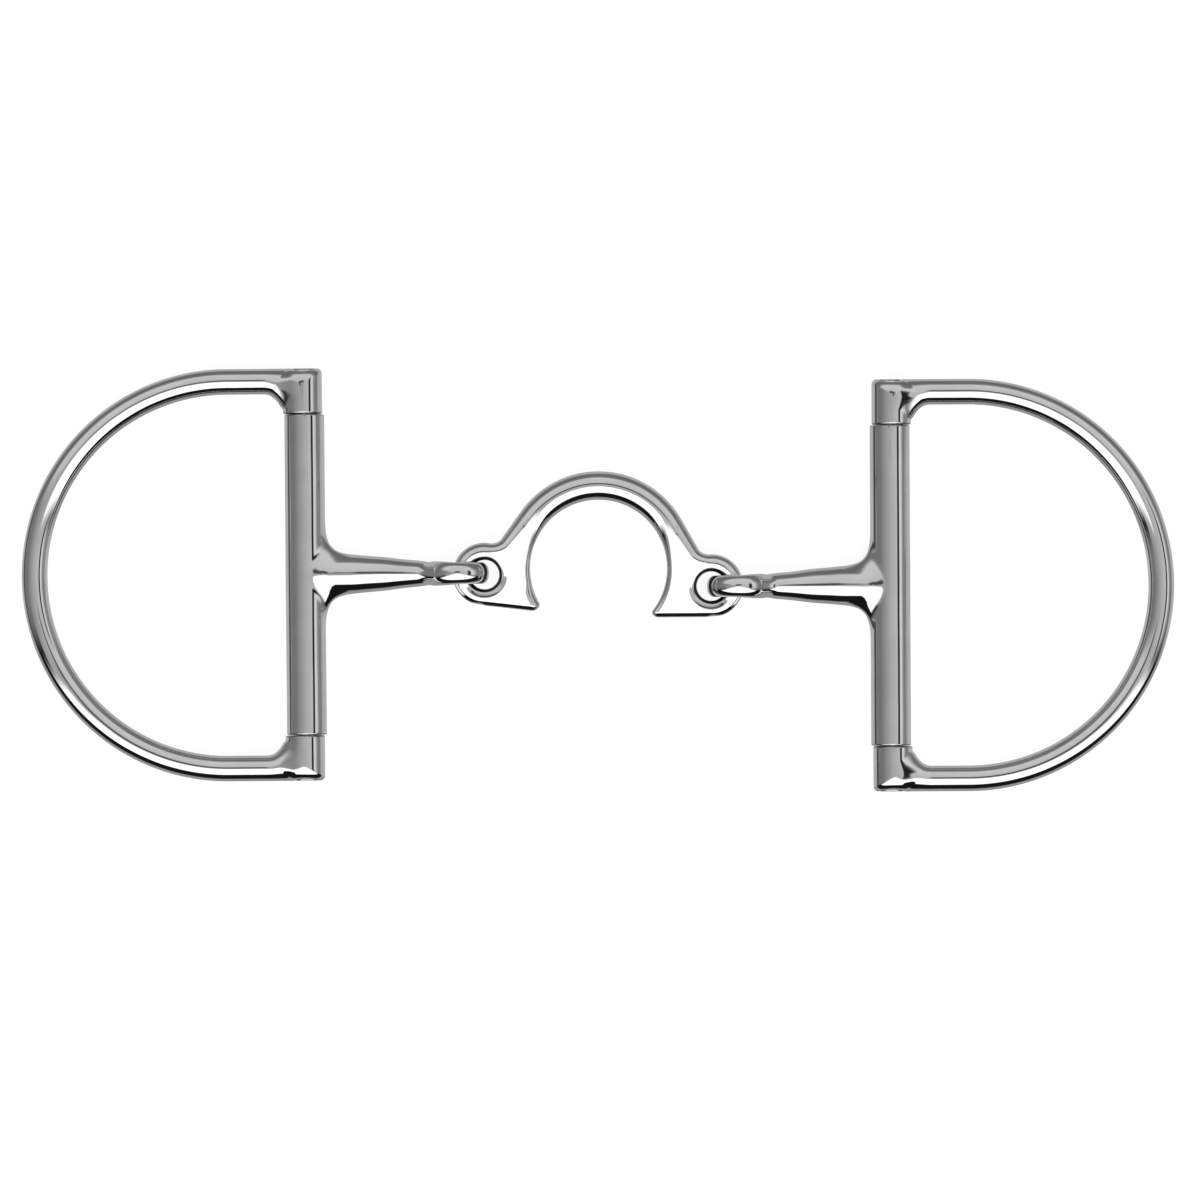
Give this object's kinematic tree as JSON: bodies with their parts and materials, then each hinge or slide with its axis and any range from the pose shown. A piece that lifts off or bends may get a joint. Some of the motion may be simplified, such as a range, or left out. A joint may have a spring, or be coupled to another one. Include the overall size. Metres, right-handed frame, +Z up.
{
  "type": "snaffle bit",
  "caption": "Dee-ring snaffle bit in polished stainless steel: tapered arms with barrels that turn in large dee rings, joined through eyes by a wide hinged port.",
  "frame": {"origin": "on the table, under the middle of the whole bit, which lies flat", "axes": "+X along the mouthpiece to the right dee ring, +Y from the port's toes to its arch, +Z up"},
  "size_m": [0.2684, 0.0985, 0.0146],
  "materials": {
    "polished_steel": "hand-polished stainless steel, near mirror",
    "pin_steel": "ground flush and polished"
  },
  "bodies": {
    "port": {"port_link": "polished_steel"},
    "left_cannon": {"left_cannon": "polished_steel"},
    "right_cannon": {"right_cannon": "polished_steel"},
    "left_dee": {"left_dee_ring": "polished_steel", "left_hinge_pin": "pin_steel"},
    "right_dee": {"right_dee_ring": "polished_steel", "right_hinge_pin": "pin_steel"}
  },
  "joints": [
    {"name": "left_cannon_fold", "type": "hinge", "parent": "port", "child": "left_cannon", "pos_m": [-0.03257, 0.00159, 0.0073], "axis": [-0.0087, 1, 0], "range_deg": [-46, 54]},
    {"name": "right_cannon_fold", "type": "hinge", "parent": "port", "child": "right_cannon", "pos_m": [0.03256, -0.00141, 0.0073], "axis": [0.0052, -1, 0], "range_deg": [-46, 54]},
    {"name": "left_dee_swing", "type": "hinge", "parent": "left_cannon", "child": "left_dee", "pos_m": [-0.06802, 0.00128, 0.00465], "axis": [-0.0087, 1, 0], "range_deg": [-92, 88]},
    {"name": "right_dee_swing", "type": "hinge", "parent": "right_cannon", "child": "right_dee", "pos_m": [0.06802, -0.00122, 0.00465], "axis": [0.0052, -1, 0], "range_deg": [-92, 88]}
  ]
}
